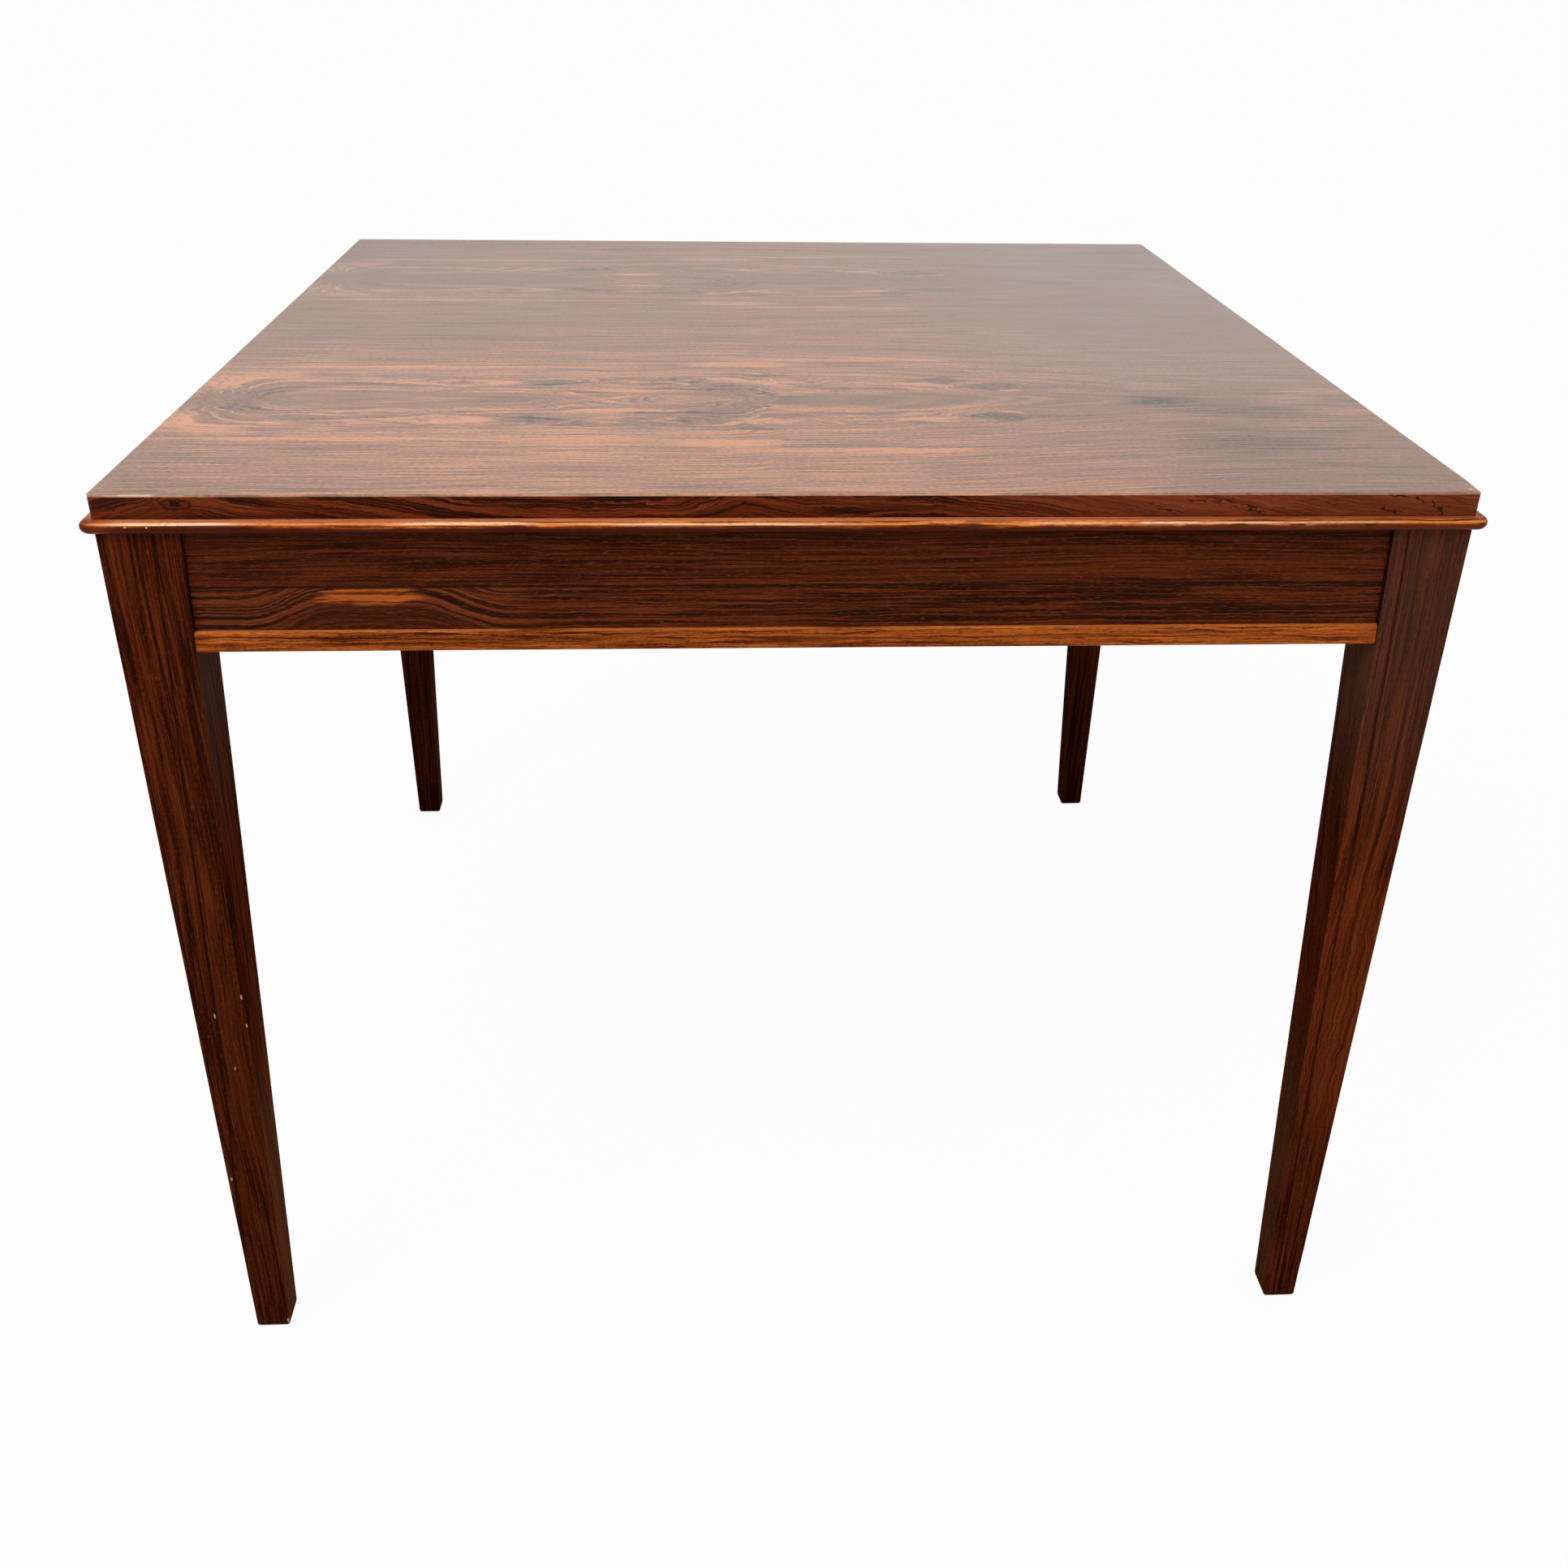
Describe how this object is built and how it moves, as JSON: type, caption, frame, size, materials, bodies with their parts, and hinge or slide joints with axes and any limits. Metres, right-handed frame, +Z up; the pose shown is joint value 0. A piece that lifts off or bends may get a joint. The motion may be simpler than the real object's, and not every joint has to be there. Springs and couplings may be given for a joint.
{
  "type": "coffee table",
  "caption": "Square rosewood coffee table with a lipped veneered top, a half-round edge moulding, beaded aprons and tapered legs.",
  "frame": {"origin": "on the floor, under the middle of the table", "axes": "+Z up; the grain of the top runs along X and the front, which the picture shows, faces -Y"},
  "size_m": [0.62, 0.62, 0.5],
  "materials": {
    "face_veneer": "figured rosewood veneer, satin lacquer",
    "edge_wood": "solid dark rosewood, satin lacquer",
    "moulding_wood": "solid orange-brown rosewood, satin lacquer",
    "apron_veneer": "straight-grained dark rosewood veneer, satin lacquer",
    "bead_wood": "solid orange-brown rosewood, satin lacquer",
    "leg_wood": "solid striped dark rosewood, satin lacquer",
    "core_board": "raw pale blockboard",
    "backing_veneer": "plain unpolished veneer",
    "block_wood": "raw beech",
    "dowel_wood": "raw beech",
    "screw_steel": "dull zinc-plated steel"
  },
  "bodies": {
    "root": {"face_veneer": "face_veneer", "board_core": "core_board", "backing_veneer": "backing_veneer", "lipping_front": "edge_wood", "lipping_right": "edge_wood", "lipping_back": "edge_wood", "lipping_left": "edge_wood", "moulding_front": "moulding_wood", "moulding_right": "moulding_wood", "moulding_back": "moulding_wood", "moulding_left": "moulding_wood", "apron_front": "apron_veneer", "apron_right": "apron_veneer", "apron_back": "apron_veneer", "apron_left": "apron_veneer", "bead_front": "bead_wood", "bead_right": "bead_wood", "bead_back": "bead_wood", "bead_left": "bead_wood", "leg_front_left": "leg_wood", "leg_front_right": "leg_wood", "leg_back_right": "leg_wood", "leg_back_left": "leg_wood", "corner_block_front_left": "block_wood", "corner_block_front_right": "block_wood", "corner_block_back_right": "block_wood", "corner_block_back_left": "block_wood", "dowel_front_apron_front_left_upper": "dowel_wood", "dowel_front_apron_front_left_lower": "dowel_wood", "dowel_left_apron_front_left_upper": "dowel_wood", "dowel_left_apron_front_left_lower": "dowel_wood", "dowel_right_apron_front_right_upper": "dowel_wood", "dowel_right_apron_front_right_lower": "dowel_wood", "dowel_front_apron_front_right_upper": "dowel_wood", "dowel_front_apron_front_right_lower": "dowel_wood", "dowel_back_apron_back_right_upper": "dowel_wood", "dowel_back_apron_back_right_lower": "dowel_wood", "dowel_right_apron_back_right_upper": "dowel_wood", "dowel_right_apron_back_right_lower": "dowel_wood", "dowel_left_apron_back_left_upper": "dowel_wood", "dowel_left_apron_back_left_lower": "dowel_wood", "dowel_back_apron_back_left_upper": "dowel_wood", "dowel_back_apron_back_left_lower": "dowel_wood", "block_screw_front_apron_front_left": "screw_steel", "block_screw_left_apron_front_left": "screw_steel", "block_screw_right_apron_front_right": "screw_steel", "block_screw_front_apron_front_right": "screw_steel", "block_screw_back_apron_back_right": "screw_steel", "block_screw_right_apron_back_right": "screw_steel", "block_screw_left_apron_back_left": "screw_steel", "block_screw_back_apron_back_left": "screw_steel", "top_screw_front_left": "screw_steel", "top_screw_front_right": "screw_steel", "top_screw_back_right": "screw_steel", "top_screw_back_left": "screw_steel", "pocket_screw_front": "screw_steel", "pocket_screw_right": "screw_steel", "pocket_screw_back": "screw_steel", "pocket_screw_left": "screw_steel"}
  },
  "joints": []
}
